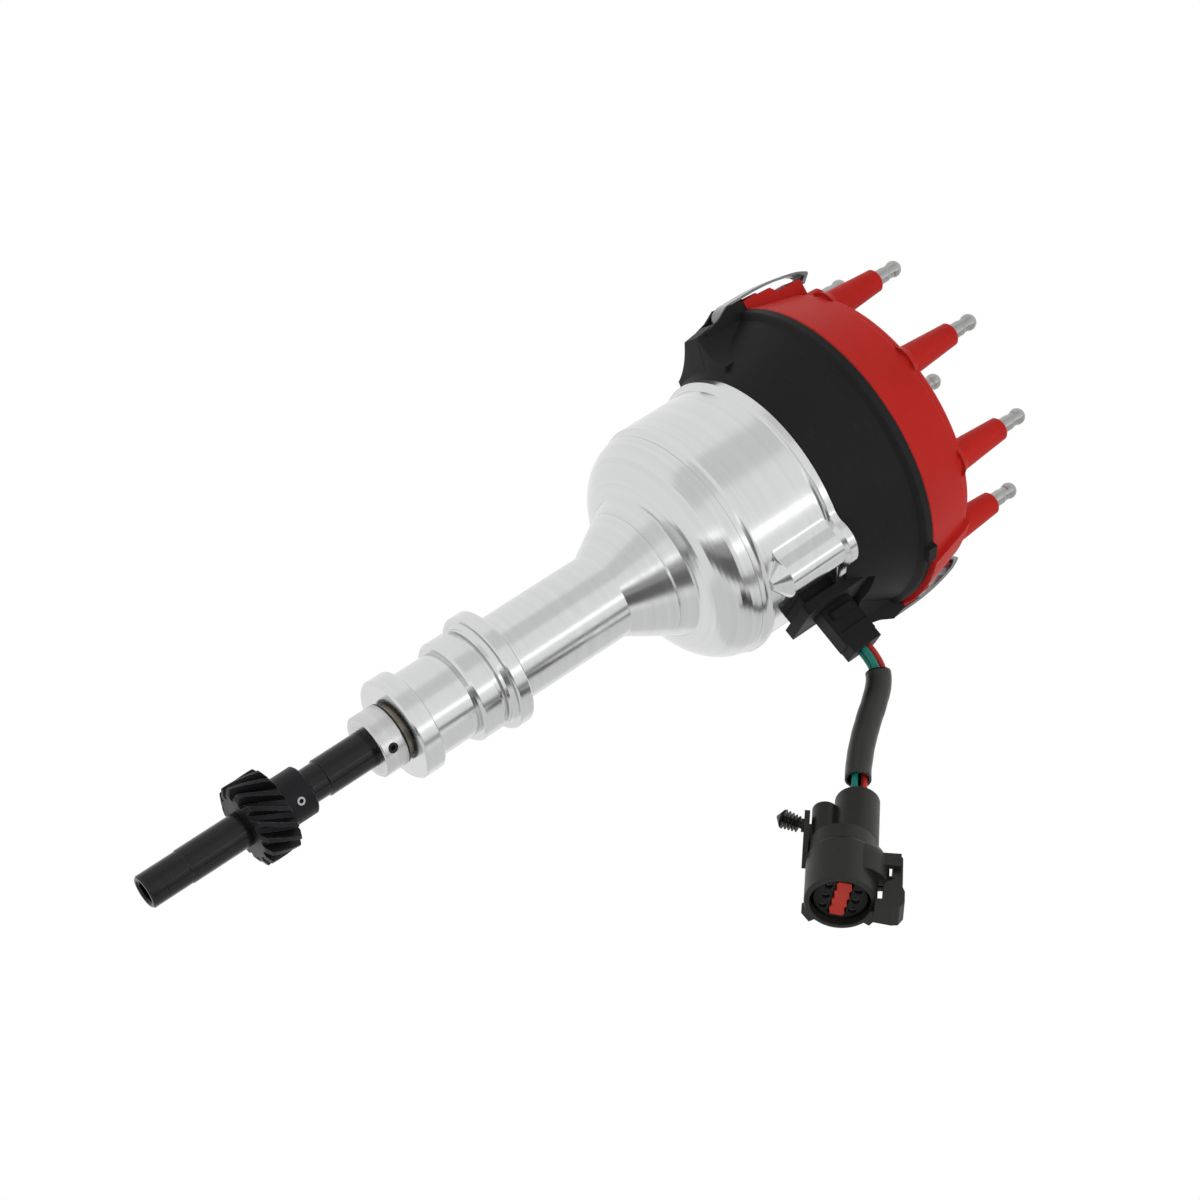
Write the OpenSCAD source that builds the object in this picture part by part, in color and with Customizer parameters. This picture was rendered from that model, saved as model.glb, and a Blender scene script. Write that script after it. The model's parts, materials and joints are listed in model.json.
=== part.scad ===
/* [Shaft and drive gear] */
// Diameter of the shaft in its bearings
shaft_d = 14.7; // [14:0.1:15.2]
// Diameter of the shaft under the gear
gear_seat_d = 13.5; // [12.5:0.1:13.8]
// Diameter of the shaft's tail, which runs in the block
tail_d = 13; // [12:0.1:13.3]
// Length of the shaft's tail
tail_h = 16.5; // [12:0.5:22]
// Depth of the shaft's lower end under the block seat
shaft_drop = 149; // [140:1:160]
// Width across the flats of the oil pump drive socket
drive_af = 8; // [6:0.1:8.4]
// Depth of the oil pump drive socket
drive_depth = 16; // [10:1:24]
// Number of teeth on the drive gear
gear_teeth = 15; // [12:1:17]
// Outside diameter of the drive gear
gear_d = 32.1; // [30.5:0.1:34]
// Face width of the drive gear
gear_face = 15; // [12:0.5:18]
// Helix angle of the drive gear at its outside
gear_helix = 33; // [20:1:40]
// Depth of the lower face of the drive gear under the block seat
gear_drop = 107; // [104:0.5:112]
// Diameter of the gear's hub
gear_hub_d = 19.3; // [18:0.1:22]
// Length of the gear's hub
gear_hub_h = 11.5; // [9:0.5:13]
// Diameter of the roll pin through the gear's hub
gear_pin_d = 3.2; // [2.5:0.1:4]
// Diameter of the thrust collar
collar_d = 24.9; // [22:0.1:27]
// Length of the thrust collar
collar_h = 9.8; // [8:0.1:12]
// Diameter of the collar's set screw
collar_screw_d = 4; // [3:0.1:5]
// Thickness of the thrust shim
shim_t = 0.5; // [0.3:0.1:1]

/* [Lower housing] */
// Diameter of the pilot flange in the block
pilot_d = 40.6; // [38:0.1:43]
// Height of the pilot flange
pilot_h = 8.3; // [6:0.1:11]
// Diameter of the waist between the pilot and the seal land
waist_d = 34.5; // [32:0.1:37]
// Height of the waist
waist_h = 18.2; // [14:0.1:22]
// Diameter of the seal land
land_d = 41; // [39:0.1:43]
// Height of the seal land
land_h = 8.6; // [7:0.1:11]
// Height of the seal groove
groove_h = 2.6; // [2:0.1:3.4]
// Diameter at the bottom of the seal groove
groove_d = 37.4; // [36:0.1:38.6]
// Height of the thin lip above the seal groove
lip_h = 1.4; // [1:0.1:2]
// Height of the bevel under the seat
bevel_h = 1.6; // [1:0.1:2.4]
// Diameter of the seat flange
seat_d = 47.1; // [45:0.1:50]
// Height of the seat flange
seat_h = 6; // [5:0.1:8]
// Diameter of the neck
neck_d = 34.6; // [33:0.1:37]
// Height of the neck
neck_h = 51.6; // [40:0.1:60]
// Diameter of the housing at the joint of its two halves
joint_d = 53.4; // [50:0.1:57]
// Height of the lower half's cone
cone_h = 16.4; // [14:0.1:19]
// Outside diameter of the lower bushing
bushing_d = 21; // [19:0.1:23]
// Length of the lower bushing
bushing_h = 28; // [20:0.5:34]

/* [Bowl] */
// Outside diameter of the bowl
bowl_d = 98; // [95:0.2:100]
// Wall of the bowl
bowl_wall = 7.5; // [7:0.1:9]
// Height of the bowl from the housing joint to its rim
bowl_h = 61.7; // [59:0.1:64]
// Radius of the bowl's rounded shoulder
shoulder_r = 20; // [18:0.2:21]
// Step from the bowl's side out to its rim
rim_step = 2.2; // [1.7:0.1:3]
// Height of the bowl's rim
rim_h = 3.5; // [3:0.1:5]
// Height of the bearing
bearing_h = 9; // [8:0.5:10]
// Outside diameter of the bearing
bearing_d = 28; // [27:0.5:30]
// Depth of the milled flat in the bowl's side
flat_depth = 5; // [4:0.1:5.4]
// Radius of the adapter boss on the bowl's rim
boss_r = 10.5; // [9:0.1:11.5]
// Direction of the adapter boss
boss_turn = -61.5; // [-66:0.5:-58]
// Direction of the plug
plug_turn = -23; // [-26:0.5:-21]

/* [Adapter and cap] */
// Diameter of the adapter at the cap
adapter_d = 130.4; // [128:0.2:132]
// Height of the adapter
adapter_h = 31.7; // [30:0.1:34]
// Wall of the adapter and the cap
wall = 3.5; // [3:0.1:4]
// How far the cap's upper edge lies inside the adapter's rim
cap_taper = 5.55; // [4.8:0.05:6.4]
// Height of the cap's side
cap_side_h = 22; // [20:0.1:24]
// Rise of the cap's top over its upper edge
cap_rise = 4.6; // [4:0.1:6]
// Distance of the towers from the cap's upper edge
tower_inset = 5.85; // [5.4:0.05:6.6]
// Height of the towers over the cap's upper edge
tower_h = 27.2; // [22:0.1:32]
// Diameter at the end of a tower
tower_end_d = 9.4; // [8.8:0.1:10.5]
// Diameter at the foot of a tower
tower_foot_d = 13.4; // [12.6:0.1:14]
// Height of the centre tower over the ring of towers
centre_rise = 5.6; // [3:0.1:8]
// Diameter of a terminal's stem
post_d = 6; // [5.4:0.1:6.4]
// Length of a terminal outside its tower
post_out = 12.5; // [10:0.1:14]
// Width of a spring clip
clip_w = 9.4; // [8:0.1:10]
// Thickness of a spring clip
clip_t = 1; // [0.8:0.1:1.2]
// Diameter of a clip's hinge pin
clip_pin_d = 3; // [2.4:0.1:3.4]

/* [Ignition pickup] */
// Number of vanes on the shutter wheel
vanes = 8; // [4:1:8]
// Room between the shutter wheel and the bowl's wall
shutter_room = 12.4; // [11.6:0.1:14]
// Width of the plug along the shaft
plug_w = 15; // [13:0.2:16]
// Thickness of the plug
plug_t = 10; // [9:0.2:12]
// Length of the plug outside the socket's flange
plug_l = 20.5; // [18:0.5:24]

/* [Harness] */
// Outside diameter of the sleeve on the wires
sleeve_d = 10; // [9:0.1:11]
// Wall of the sleeve
sleeve_wall = 0.8; // [0.5:0.1:1]
// Diameter of a wire
wire_d = 2.4; // [2:0.1:2.6]
// Outside diameter of the connector's mouth
mouth_d = 26; // [24.6:0.1:27]
// Length of the connector
connector_l = 53; // [50:0.5:56]

/* [Hidden] */
$fn = 96;
hair = 0.02; // play of pieces that are pressed or screwed together
run = 0.05; // radial play of turning fits
play = 0.3; // room between pieces that pass each other
over = 1; // how far a cut runs past a face

// Diameters that follow from the bowl and the adapter
bowl_inside_d = bowl_d - 2 * bowl_wall;
rim_d = bowl_d + 2 * rim_step;
flat_reach = bowl_d / 2 - flat_depth;
shutter_d = bowl_inside_d - 2 * shutter_room;
cap_top_d = adapter_d - 2 * cap_taper;

// Heights along the shaft, measured from the block seat
shaft_end_z = -shaft_drop;
seat_low_z = -(bevel_h + lip_h + groove_h + land_h);
waist_low_z = seat_low_z - waist_h;
pilot_low_z = waist_low_z - pilot_h;
bushing_low_z = pilot_low_z - 1.4;
shim_low_z = bushing_low_z - 0.1 - shim_t;
collar_low_z = shim_low_z - collar_h;
gear_low_z = -gear_drop;
gear_top_z = gear_low_z + gear_face;
hub_top_z = gear_top_z + gear_hub_h;
step_z = hub_top_z + 7.2;
gear_pin_z = gear_top_z + gear_hub_h / 2 - 0.3;
collar_screw_z = collar_low_z + collar_h * 0.45;
neck_top_z = seat_h + neck_h;
joint_z = neck_top_z + cone_h;
spigot_h = 6;
spigot_d = 36;
bowl_top_z = joint_z + bowl_h;
rim_low_z = bowl_top_z - rim_h;
shoulder_z = joint_z + 6 + shoulder_r;
floor_z = joint_z + 24;
bearing_low_z = floor_z - 1.5 - bearing_h;
ring_t = 1.2;
plate_t = 2;
plate_top_z = floor_z + plate_t;
shutter_top_z = plate_top_z + 20;
adapter_top_z = bowl_top_z + adapter_h;
cap_edge_z = adapter_top_z + cap_side_h;
cap_top_z = cap_edge_z + cap_rise;
ceiling_z = cap_top_z - wall - 1;
tower_top_z = cap_edge_z + tower_h;
centre_top_z = tower_top_z + centre_rise;
rotor_low_z = adapter_top_z - 12;
rotor_h = 8;
blade_z = rotor_low_z + rotor_h + 4;
blade_t = 1.2;
contact_z = blade_z - 1.4;
contact_h = 4;

// Radii across the adapter, the cap and the rotor
tower_r = cap_top_d / 2 - tower_inset;
contact_r = tower_r - 4.6;
blade_reach = contact_r - 1.2;
rotor_r = bowl_inside_d / 2 - 11.5;
rotor_screw_r = rotor_r - 12;
hub_r = shaft_d / 2 + 4.65;
ball_circle_r = (bearing_d + shaft_d) / 4;
race_t = (bearing_d - shaft_d) * 0.165;
ball_r = (bearing_d - shaft_d) * 0.135;
rim_seat_r = adapter_d / 2 - wall;
boss_reach = bowl_d / 2 - 0.3;
screw_r = bowl_inside_d / 2 + 2.8;
plate_screw_r = bowl_inside_d / 2 - 7.5;
pad_out = 2.4;
pad_half_angle = 39;

// A spring clip in its own plane: distance from the shaft's axis, then height
pin_inset = 1.7;
pin_r = adapter_d / 2 - pin_inset;
pin_z = adapter_top_z - 9.4;
eye_r = clip_pin_d / 2 + run + clip_t;
bulge_r = pin_r + 6.4;
bend_r = 7.9;
bend_z = pin_z - eye_r + bend_r;
strap_r = 97;
strap_turn = 14.5;
straight_z = bend_z + 8.6;
strap_end = [bulge_r - strap_r + strap_r * cos(strap_turn),
    straight_z + strap_r * sin(strap_turn)];
lug_top_z = strap_end[1] - 0.9 - play;

// The plug and the pickup socket, along the direction of the plug
flange_back = flat_reach + 4;
flange_front = flange_back + 4.5;
plug_end = flange_front + plug_l;
plug_z = bowl_top_z - 5.1;
window_w = 19;
window_low_z = plug_z - 13;

// Route of the wires from the plug to the connector
route = [[71.2, -30.1, 130.5], [74.2, -31.2, 130], [77, -32.5, 128.6], [79.6, -34, 126.2],
    [81.7, -35.4, 123.2], [83.6, -36.8, 119.8], [85.5, -38.1, 116.3], [87.4, -39.4, 112.5],
    [89.4, -40.9, 108.7], [91.6, -42.4, 104.8], [93.9, -44, 101], [96.4, -45.8, 97.2],
    [98.9, -47.8, 93.5], [101.4, -50.3, 89.9], [103.9, -53, 86.3]];
plug_way = [cos(plug_turn), sin(plug_turn), 0];
seat_depth = 6;
connector_turn = -57.1;
connector_dip = 44.8;
connector_roll = 170.5;
connector_way = [cos(connector_turn) * cos(connector_dip),
    sin(connector_turn) * cos(connector_dip), -sin(connector_dip)];
connector_at = [106.1, -55.5, 83];
core_low = 28;
full_route = concat(
    [for (d = [hair - seat_depth, 1.2]) plug_way * (plug_end + d) + [0, 0, plug_z]],
    route, [connector_at, connector_at + connector_way * (core_low - hair)]);
sleeve_first = 4;
sleeve_last = len(full_route) - 4;
wire_seats = [[2, -1.2], [-2, -1.2], [0, 2.3]];

// The connector along its own axis, across from the middle of its rear barrel
barrel_d = 16.6;
mouth_wall = 1.9;
core_d = mouth_d - 6.8;
shell_shift = -4.7;
shell_low = 24;
core_back = 34;
core_turn = -10;
latch_w = 9;
latch_pivot = 36;
latch_out = mouth_d / 2 + 8.6;
latch_pin_d = 2;
lobe_r = mouth_d / 2 - 2;
lobe_shift = 6;
lobe_high = 45;

function unit(v) = v / norm(v);
function arc(c, r, a0, a1, n) =
    [for (i = [0:n]) c + r * [cos(a0 + (a1 - a0) * i / n), sin(a0 + (a1 - a0) * i / n)]];
// Where a circle of radius r0 round the origin meets one of radius rp round the point p
function meet(r0, p, rp) = let (d = norm(p), a = atan2(p[1], p[0]),
    x = (r0 * r0 - rp * rp + d * d) / (2 * d), y = sqrt(r0 * r0 - x * x))
    [x * cos(a) - y * sin(a), x * sin(a) + y * cos(a)];
function turned_back(p) = [for (i = [len(p) - 1:-1:0]) p[i]];

module ring(r_out, r_in, z0, z1) {
    translate([0, 0, z0]) difference() {
        cylinder(r = r_out, h = z1 - z0);
        translate([0, 0, -over]) cylinder(r = r_in, h = z1 - z0 + 2 * over);
    }
}

module slab(x0, x1, y0, y1, z0, z1) {
    translate([x0, y0, z0]) cube([x1 - x0, y1 - y0, z1 - z0]);
}

// A flat rounded outline round the origin
module pill(w, h, r) {
    square([w - 2 * r, h], center = true);
    square([w, h - 2 * r], center = true);
    for (x = [-1, 1])
        for (y = [-1, 1])
            translate([x * (w / 2 - r), y * (h / 2 - r)]) circle(r = r, $fn = 32);
}

// Stands an outline of radius and height upright as a plate of width w
module plate_in_plane(w) {
    rotate([90, 0, 0]) translate([0, 0, -w / 2]) linear_extrude(w) children();
}

// A row of solids along the direction of a pin that lies across the radius
module cross_pin(d, x, z, l) {
    translate([x, l / 2, z]) rotate([90, 0, 0]) cylinder(d = d, h = l, $fn = 48);
}

/* Lower housing */

module shank() {
    bore_r = shaft_d / 2 + 1.2;
    color("gainsboro") difference() {
        rotate_extrude() polygon([
            [0, pilot_low_z], [pilot_d / 2 - 0.8, pilot_low_z], [pilot_d / 2, pilot_low_z + 0.8],
            [pilot_d / 2, waist_low_z - 0.4], [pilot_d / 2 - 0.4, waist_low_z],
            [waist_d / 2, waist_low_z], [waist_d / 2, seat_low_z],
            [land_d / 2 - 1, seat_low_z], [land_d / 2, seat_low_z + 1],
            [land_d / 2, seat_low_z + land_h], [groove_d / 2, seat_low_z + land_h + 0.3],
            [groove_d / 2, -bevel_h - lip_h - 0.3], [land_d / 2 - 0.3, -bevel_h - lip_h],
            [land_d / 2 - 0.3, -bevel_h], [land_d / 2 + 0.9, 0], [seat_d / 2 - 0.6, 0],
            [seat_d / 2, 0.6], [seat_d / 2, seat_h - 0.5], [seat_d / 2 - 0.5, seat_h],
            [neck_d / 2, seat_h], [neck_d / 2, neck_top_z], [joint_d / 2 - 0.2, joint_z - 0.35],
            [joint_d / 2 - 0.2, joint_z], [spigot_d / 2 - hair, joint_z],
            [spigot_d / 2 - hair, joint_z + spigot_h], [0, joint_z + spigot_h]]);
        translate([0, 0, pilot_low_z - over])
            cylinder(r = bore_r, h = joint_z + spigot_h - pilot_low_z + 2 * over);
        translate([0, 0, pilot_low_z - over])
            cylinder(d = bushing_d, h = over + bushing_low_z + bushing_h - pilot_low_z);
    }
}

module lower_bushing() {
    color("peru") ring(bushing_d / 2 - hair, shaft_d / 2 + run, bushing_low_z,
        bushing_low_z + bushing_h);
}

/* Bowl */

module bowl_blank() {
    r0 = bowl_d / 2 - 1;
    cone_slope = (joint_d / 2 - neck_d / 2) / cone_h;
    rotate_extrude() polygon(concat(
        [[0, joint_z], [joint_d / 2 - 0.2, joint_z], [joint_d / 2 - 0.2, joint_z + 0.35]],
        [[joint_d / 2 + cone_slope * 6, joint_z + 6]],
        arc([r0 - shoulder_r, shoulder_z], shoulder_r, -83, -12, 14),
        [[r0 - 0.7, shoulder_z - 3.4]],
        arc([r0 + 2.2, shoulder_z - 2.8], 2.9, 180, 114, 6),
        [[bowl_d / 2, shoulder_z + 0.2]],
        arc([bowl_d / 2 + 2.4, rim_low_z - 2.4], 2.4, 180, 110, 5),
        [[rim_d / 2 - 0.3, rim_low_z], [rim_d / 2, rim_low_z + 0.3],
            [rim_d / 2, bowl_top_z - 0.4], [rim_d / 2 - 0.4, bowl_top_z], [0, bowl_top_z]]));
}

// Concave fillet between a round of radius r0 about the axis and a boss of radius rb
module boss_fillet(r0, rb, f, low, high) {
    c = meet(r0 + f, [boss_reach, 0], rb + f);
    for (side = [0, 1]) mirror([0, side, 0]) translate([0, 0, low]) difference() {
        linear_extrude(high - low)
            polygon([[r0 - 12, 0], [boss_reach, 0], c, c * (r0 - 10) / norm(c)]);
        translate([c[0], c[1], -over]) cylinder(r = f, h = high - low + 2 * over);
    }
}

module bowl_boss() {
    side_r = boss_r - 2.2;
    top_r = boss_r - 0.3;
    low = shoulder_z + 1;
    high = bowl_top_z - 0.05;
    rotate([0, 0, boss_turn]) {
        translate([boss_reach, 0, 0]) rotate_extrude() polygon([
            [0, low - 1], [2.4, low - 1], [side_r, low + 4.4], [side_r, rim_low_z - 1.6],
            [top_r, rim_low_z - 0.1], [top_r, high - 0.2], [top_r - 0.2, high], [0, high]]);
        boss_fillet(bowl_d / 2, side_r, 8, low + 4, rim_low_z);
        boss_fillet(rim_d / 2, top_r, 9, rim_low_z - 0.02, high - 0.3);
    }
}

module bowl() {
    color("gainsboro") difference() {
        union() {
            bowl_blank();
            bowl_boss();
        }
        translate([0, 0, floor_z]) cylinder(d = bowl_inside_d, h = bowl_top_z - floor_z + over);
        translate([0, 0, joint_z - over]) cylinder(d = spigot_d, h = spigot_h + over);
        translate([0, 0, joint_z]) cylinder(d = shaft_d + 3, h = floor_z - joint_z);
        translate([0, 0, bearing_low_z]) cylinder(d = bearing_d, h = floor_z - bearing_low_z + over);
        translate([0, 0, bearing_low_z + bearing_h]) cylinder(d = bearing_d + 1.8, h = ring_t + hair);
        rotate([0, 0, plug_turn]) {
            slab(flat_reach, flat_reach + 30, -26, 26, shoulder_z + 1, rim_low_z - 0.6);
            slab(flange_back, flange_back + 30, -26, 26, rim_low_z - 1, bowl_top_z + over);
            slab(30, 70, -window_w / 2 - play, window_w / 2 + play, window_low_z - play,
                bowl_top_z + over);
        }
        for (a = [boss_turn, 90, 200])
            rotate([0, 0, a]) translate([screw_r, 0, bowl_top_z - 9]) cylinder(d = 3.6, h = 9 + over);
        for (a = [70, 250])
            rotate([0, 0, a]) translate([plate_screw_r, 0, floor_z - 7]) cylinder(d = 3.4, h = 7 + over);
    }
}

module bearing_outer_race() {
    color("silver") translate([0, 0, bearing_low_z]) rotate_extrude() difference() {
        translate([bearing_d / 2 - race_t, 0]) square([race_t - hair, bearing_h]);
        translate([ball_circle_r, bearing_h / 2]) circle(r = ball_r + 0.05, $fn = 32);
    }
}

module bearing_inner_race() {
    color("silver") translate([0, 0, bearing_low_z]) rotate_extrude() difference() {
        translate([shaft_d / 2 + hair, 0]) square([race_t, bearing_h]);
        translate([ball_circle_r, bearing_h / 2]) circle(r = ball_r + 0.05, $fn = 32);
    }
}

module bearing_balls() {
    color("silver") for (i = [0:8])
        rotate([0, 0, i * 40]) translate([ball_circle_r, 0, bearing_low_z + bearing_h / 2])
            sphere(r = ball_r, $fn = 32);
}

module retaining_ring() {
    low = bearing_low_z + bearing_h;
    color("dimgray") difference() {
        ring(bearing_d / 2 + 0.9 - hair, bearing_d / 2 - 1.6, low, low + ring_t);
        rotate([0, 0, 40]) slab(0, bearing_d, -3, 3, low - over, low + ring_t + over);
    }
}

/* Shaft and what turns with it */

module shaft() {
    top_z = rotor_low_z - 1;
    seat_d1 = gear_seat_d;
    color("dimgray") difference() {
        rotate_extrude() polygon([
            [0, shaft_end_z], [tail_d / 2 - 0.6, shaft_end_z], [tail_d / 2, shaft_end_z + 0.6],
            [tail_d / 2, shaft_end_z + tail_h], [seat_d1 / 2, shaft_end_z + tail_h + 0.3],
            [seat_d1 / 2, step_z], [shaft_d / 2, step_z + 0.3], [shaft_d / 2, top_z - 0.6],
            [shaft_d / 2 - 0.6, top_z], [0, top_z]]);
        translate([0, 0, shaft_end_z - over])
            cylinder(d = drive_af / cos(30), h = drive_depth + over, $fn = 6);
        translate([0, 0, shaft_end_z - 0.01])
            cylinder(d1 = drive_af / cos(30) + 1.2, d2 = drive_af / cos(30) - 0.2, h = 0.7);
        rotate([0, 0, -81]) cross_pin_x(gear_pin_d, gear_pin_z, shaft_d + 4);
        rotate([0, 0, 30]) cross_pin_x(3, rotor_low_z - 8, shaft_d + 4);
    }
}

// A round bar across the shaft's axis
module cross_pin_x(d, z, l) {
    translate([-l / 2, 0, z]) rotate([0, 90, 0]) cylinder(d = d, h = l, $fn = 48);
}

function tooth_ring(n, r_root, r_tip) = [for (i = [0:n - 1])
    for (p = [[-0.30, r_root], [-0.235, (r_root + r_tip) / 2], [-0.14, r_tip],
              [0.14, r_tip], [0.235, (r_root + r_tip) / 2], [0.30, r_root]])
        p[1] * [cos((i + p[0]) * 360 / n), sin((i + p[0]) * 360 / n)]];

module drive_gear() {
    tip_r = gear_d / 2;
    root_r = tip_r - 3.9;
    lead_turn = gear_face * tan(gear_helix) / tip_r * 180 / PI;
    bevel = 1.3;
    color("dimgray") difference() {
        union() {
            intersection() {
                translate([0, 0, gear_low_z])
                    linear_extrude(gear_face, twist = -lead_turn, slices = 7)
                        polygon(tooth_ring(gear_teeth, root_r, tip_r));
                rotate_extrude() polygon([
                    [0, gear_low_z], [tip_r - 2.6, gear_low_z], [tip_r + 0.1, gear_low_z + bevel],
                    [tip_r + 0.1, gear_top_z - bevel], [tip_r - 2.6, gear_top_z],
                    [0, gear_top_z]]);
            }
            translate([0, 0, gear_top_z - 0.01]) cylinder(d = gear_hub_d, h = gear_hub_h - 0.6);
            translate([0, 0, hub_top_z - 0.62])
                cylinder(d1 = gear_hub_d, d2 = gear_hub_d - 1.4, h = 0.6);
        }
        translate([0, 0, gear_low_z - over])
            cylinder(d = gear_seat_d + 2 * hair, h = gear_face + gear_hub_h + 2 * over);
        rotate([0, 0, -81]) cross_pin_x(gear_pin_d, gear_pin_z, gear_hub_d + 2);
    }
}

module gear_pin() {
    l = gear_hub_d - 0.2;
    color("silver") rotate([0, 0, -81]) difference() {
        cross_pin_x(gear_pin_d - 2 * hair, gear_pin_z, l);
        cross_pin_x(gear_pin_d / 2, gear_pin_z, l + 2);
    }
}

module thrust_collar() {
    color("lightgray") difference() {
        rotate_extrude() polygon([
            [shaft_d / 2 + hair, collar_low_z], [collar_d / 2 - 0.5, collar_low_z],
            [collar_d / 2, collar_low_z + 0.5], [collar_d / 2, shim_low_z - 0.3],
            [collar_d / 2 - 0.3, shim_low_z], [shaft_d / 2 + hair, shim_low_z]]);
        rotate([0, 0, -76]) translate([0, 0, collar_screw_z]) rotate([0, 90, 0])
            cylinder(d = collar_screw_d, h = collar_d, $fn = 48);
    }
}

module collar_screw() {
    x0 = shaft_d / 2 + 0.2;
    l = collar_d / 2 - x0 - 0.25;
    color("dimgray") rotate([0, 0, -76]) translate([x0, 0, collar_screw_z]) rotate([0, 90, 0])
        difference() {
            cylinder(d = collar_screw_d - 2 * hair, h = l, $fn = 48);
            translate([0, 0, l - 1.6]) cylinder(d = 2.2, h = 2.6, $fn = 6);
        }
}

module thrust_shim() {
    color("black") ring(collar_d / 2 - 0.1, shaft_d / 2 + run, shim_low_z, shim_low_z + shim_t);
}

module shutter_wheel() {
    vane_low_z = plate_top_z + 4;
    color("silver") difference() {
        union() {
            ring(shutter_d / 2, shaft_d / 2 + hair, shutter_top_z - 1.2, shutter_top_z);
            ring(shutter_d / 2, shutter_d / 2 - 1.2, vane_low_z, shutter_top_z - 1.1);
            ring(hub_r, shaft_d / 2 + hair, shutter_top_z - 7, shutter_top_z - 1.1);
        }
        for (i = [0:vanes - 1])
            rotate([0, 0, (i + 0.5) * 360 / vanes])
                linear_extrude(2 * (shutter_top_z - 3), center = true)
                    polygon([[shutter_d / 2 - 3, 0], [shutter_d, -tan(90 / vanes) * shutter_d],
                        [shutter_d, tan(90 / vanes) * shutter_d]]);
    }
}

module rotor_base() {
    low = rotor_low_z - 16;
    disc_r = rotor_r - 5.5;
    color("silver") difference() {
        rotate_extrude() polygon([
            [shaft_d / 2 + hair, low], [hub_r - 0.5, low], [hub_r, low + 0.5],
            [hub_r, rotor_low_z - 4], [disc_r - 0.5, rotor_low_z - 4], [disc_r, rotor_low_z - 3.5],
            [disc_r, rotor_low_z - 0.4], [disc_r - 0.4, rotor_low_z],
            [shaft_d / 2 + hair, rotor_low_z]]);
        for (a = [90, 270])
            rotate([0, 0, a]) translate([rotor_screw_r, 0, low]) cylinder(d = 3.4, h = 30);
        rotate([0, 0, 30]) cross_pin_x(3, rotor_low_z - 8, 26);
    }
}

module rotor() {
    arm = blade_reach - 6.5;
    color("dimgray") difference() {
        union() {
            translate([0, 0, rotor_low_z]) cylinder(r = rotor_r, h = 3);
            translate([0, 0, rotor_low_z]) cylinder(r1 = rotor_r, r2 = rotor_r - 3, h = rotor_h);
            translate([0, 0, rotor_low_z + rotor_h - 0.01]) cylinder(r1 = 12, r2 = 9, h = 4.01);
            translate([0, 0, rotor_low_z]) linear_extrude(blade_z - rotor_low_z)
                polygon([[0, -9], [0, 9], [arm - 1.5, 6], [arm, 4.5], [arm, -4.5], [arm - 1.5, -6]]);
        }
        translate([0, 0, rotor_low_z - over]) cylinder(d = 16, h = 4 + over);
        for (a = [90, 270]) rotate([0, 0, a]) translate([rotor_screw_r, 0, rotor_low_z - over]) {
            cylinder(d = 4.2, h = 20);
            translate([0, 0, over + 4]) cylinder(d = 8.4, h = 20);
        }
    }
}

module rotor_blade() {
    color("goldenrod") translate([0, 0, blade_z]) {
        linear_extrude(blade_t) {
            circle(r = 6);
            translate([0, -3]) square([blade_reach, 6]);
        }
        translate([0, 0, blade_t - 0.01]) cylinder(r1 = 4.4, r2 = 3.6, h = 0.9);
    }
}

module rotor_screws() {
    color("silver") for (a = [90, 270]) rotate([0, 0, a]) translate([rotor_screw_r, 0, rotor_low_z])
        difference() {
            union() {
                translate([0, 0, -7]) cylinder(d = 3.4 - 2 * hair, h = 11.1, $fn = 48);
                translate([0, 0, 4]) cylinder(d = 7, h = 3, $fn = 48);
            }
            translate([0, 0, 5.4]) for (b = [0, 90])
                rotate([0, 0, b]) translate([-2.2, -0.4, 0]) cube([4.4, 0.8, 3]);
        }
}

/* Pickup */

module pickup_plate() {
    color("lightgray") difference() {
        ring(bowl_inside_d / 2 - 0.2, 17, floor_z, plate_top_z);
        for (a = [70, 250])
            rotate([0, 0, a]) translate([plate_screw_r, 0, floor_z - over])
                cylinder(d = 4.2, h = plate_t + 2 * over);
    }
}

module hall_sensor() {
    vane_r = shutter_d / 2;
    foot_top = plate_top_z + 3.4;
    color("black") rotate([0, 0, plug_turn]) difference() {
        union() {
            slab(vane_r - 7, vane_r + 7, -9, 9, plate_top_z, foot_top);
            slab(vane_r - 7, vane_r - 2.2, -6, 6, foot_top - 0.01, shutter_top_z - 2.2);
            slab(vane_r + 1, vane_r + 7, -7, 7, foot_top - 0.01, shutter_top_z - 1);
        }
        translate([vane_r - 4.6, 0, foot_top + 8]) rotate([0, 90, 0]) cylinder(d = 3, h = 20);
    }
}

module plate_screws() {
    color("silver") for (a = [70, 250])
        rotate([0, 0, a]) translate([plate_screw_r, 0, floor_z]) difference() {
            union() {
                translate([0, 0, -6]) cylinder(d = 3.4 - 2 * hair, h = 6 + plate_t + 0.1, $fn = 48);
                translate([0, 0, plate_t]) cylinder(d = 6.6, h = 2.2, $fn = 48);
            }
            translate([0, 0, plate_t + 1]) for (b = [0, 90])
                rotate([0, 0, b]) translate([-2, -0.4, 0]) cube([4, 0.8, 3]);
        }
}

module pickup_socket() {
    back = shutter_d / 2 + 7;
    flange_w = 26;
    flange_low_z = plug_z - 15.6;
    flange_top_z = plug_z + 16;
    color("black") rotate([0, 0, plug_turn]) difference() {
        union() {
            slab(back, flange_back + 1, -window_w / 2, window_w / 2, window_low_z, plug_z + 4);
            translate([flange_back, 0, (flange_low_z + flange_top_z) / 2]) rotate([0, 90, 0])
                linear_extrude(flange_front - flange_back)
                    pill(flange_top_z - flange_low_z, flange_w, 2);
            translate([flange_front - 0.01, 0, plug_z]) rotate([0, 90, 0])
                linear_extrude(8) pill(plug_w - 5, plug_t - 4, 1);
        }
    }
}

/* Adapter */

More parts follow.
